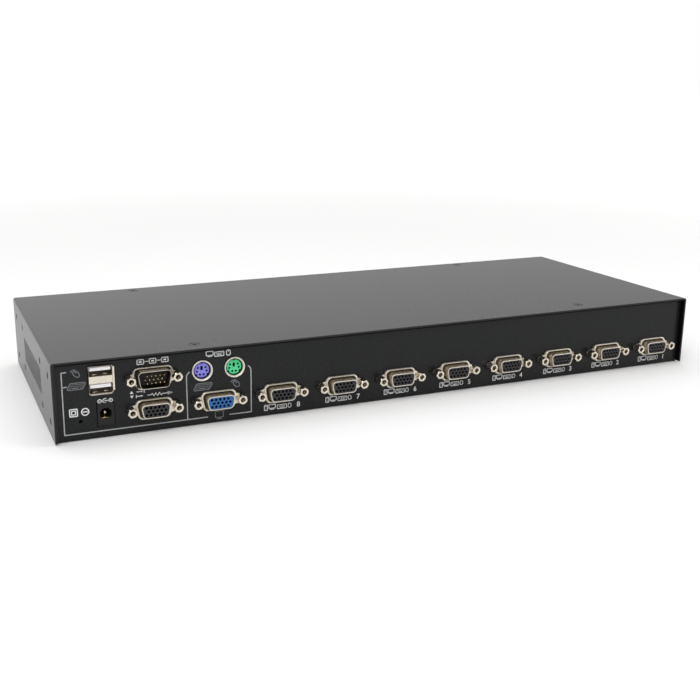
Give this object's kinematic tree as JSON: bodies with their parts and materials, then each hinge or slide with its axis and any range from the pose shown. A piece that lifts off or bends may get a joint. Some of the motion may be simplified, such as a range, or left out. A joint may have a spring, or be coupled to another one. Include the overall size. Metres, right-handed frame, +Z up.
{
  "type": "kvm switch",
  "caption": "Low black rack-mount case with a row of video sockets and keyboard, mouse, USB and power sockets on the rear, and spring-loaded selector buttons on the front.",
  "frame": {"origin": "on the underside, under the middle of the whole object's box", "axes": "+X runs along the width, to the left when looking at the rear; +Y towards the connector side; +Z up; the buttons face -Y"},
  "size_m": [0.411, 0.1694, 0.0444],
  "materials": {
    "black_paint": "fine satin black powder coat on folded steel sheet",
    "black_screw": "black zinc, slightly glossy",
    "nickel": "warm nickel plating over stamped steel, satin",
    "blue_plastic": "moulded, slightly satin",
    "grey_plastic": "moulded, matte",
    "purple_plastic": "moulded, slightly satin",
    "green_plastic": "moulded, slightly satin",
    "cream_plastic": "moulded, matte",
    "black_plastic": "moulded, fine texture",
    "smoked_window": "dark red-black clear plastic, polished",
    "lamp_lens": "frosted green light pipe",
    "circuit_board": "solder mask over glass fibre",
    "ribbon": "grey flat cable",
    "bare_aluminium": "extruded",
    "capacitor_sleeve": "shrink sleeve",
    "button_plastic": "moulded, satin"
  },
  "bodies": {
    "chassis": {"base_chassis": "black_paint", "button_board": "circuit_board", "cascade_in_insert": "grey_plastic", "cascade_in_shell": "nickel", "cascade_out_insert": "grey_plastic", "cascade_out_shell": "nickel", "computer_port_1_insert": "grey_plastic", "computer_port_1_shell": "nickel", "computer_port_2_insert": "grey_plastic", "computer_port_2_shell": "nickel", "computer_port_3_insert": "grey_plastic", "computer_port_3_shell": "nickel", "computer_port_4_insert": "grey_plastic", "computer_port_4_shell": "nickel", "computer_port_5_insert": "grey_plastic", "computer_port_5_shell": "nickel", "computer_port_6_insert": "grey_plastic", "computer_port_6_shell": "nickel", "computer_port_7_insert": "grey_plastic", "computer_port_7_shell": "nickel", "computer_port_8_insert": "grey_plastic", "computer_port_8_shell": "nickel", "console_board": "circuit_board", "console_video_insert": "blue_plastic", "console_video_shell": "nickel", "cover_screw_front_left": "black_screw", "cover_screw_front_right": "black_screw", "cover_screw_rear_left": "black_screw", "cover_screw_rear_right": "black_screw", "display_module": "black_plastic", "display_window": "smoked_window", "filter_capacitor": "capacitor_sleeve", "front_bezel": "black_plastic", "heat_sink": "bare_aluminium", "keyboard_socket_core": "purple_plastic", "keyboard_socket_shield": "nickel", "lamp_bar": "lamp_lens", "main_board": "circuit_board", "main_controller": "black_plastic", "mouse_socket_core": "green_plastic", "mouse_socket_shield": "nickel", "power_inlet_body": "black_plastic", "power_inlet_pin": "nickel", "ribbon_cable": "ribbon", "ribbon_header": "black_plastic", "riser_header": "black_plastic", "top_cover": "black_paint", "usb_shell": "nickel", "usb_tongues": "cream_plastic", "video_switch_chip": "black_plastic", "voltage_regulator": "black_plastic"},
    "port_button_1": {"port_button_1": "button_plastic"},
    "port_button_2": {"port_button_2": "button_plastic"},
    "port_button_3": {"port_button_3": "button_plastic"},
    "port_button_4": {"port_button_4": "button_plastic"},
    "port_button_5": {"port_button_5": "button_plastic"},
    "port_button_6": {"port_button_6": "button_plastic"},
    "port_button_7": {"port_button_7": "button_plastic"},
    "port_button_8": {"port_button_8": "button_plastic"}
  },
  "joints": [
    {"name": "port_button_1_press", "type": "slide", "parent": "chassis", "child": "port_button_1", "axis": [0, 1, 0], "range_m": [0, 0.001], "stiffness_N_per_m": 600, "springref_m": -0.0008},
    {"name": "port_button_2_press", "type": "slide", "parent": "chassis", "child": "port_button_2", "axis": [0, 1, 0], "range_m": [0, 0.001], "stiffness_N_per_m": 600, "springref_m": -0.0008},
    {"name": "port_button_3_press", "type": "slide", "parent": "chassis", "child": "port_button_3", "axis": [0, 1, 0], "range_m": [0, 0.001], "stiffness_N_per_m": 600, "springref_m": -0.0008},
    {"name": "port_button_4_press", "type": "slide", "parent": "chassis", "child": "port_button_4", "axis": [0, 1, 0], "range_m": [0, 0.001], "stiffness_N_per_m": 600, "springref_m": -0.0008},
    {"name": "port_button_5_press", "type": "slide", "parent": "chassis", "child": "port_button_5", "axis": [0, 1, 0], "range_m": [0, 0.001], "stiffness_N_per_m": 600, "springref_m": -0.0008},
    {"name": "port_button_6_press", "type": "slide", "parent": "chassis", "child": "port_button_6", "axis": [0, 1, 0], "range_m": [0, 0.001], "stiffness_N_per_m": 600, "springref_m": -0.0008},
    {"name": "port_button_7_press", "type": "slide", "parent": "chassis", "child": "port_button_7", "axis": [0, 1, 0], "range_m": [0, 0.001], "stiffness_N_per_m": 600, "springref_m": -0.0008},
    {"name": "port_button_8_press", "type": "slide", "parent": "chassis", "child": "port_button_8", "axis": [0, 1, 0], "range_m": [0, 0.001], "stiffness_N_per_m": 600, "springref_m": -0.0008}
  ]
}
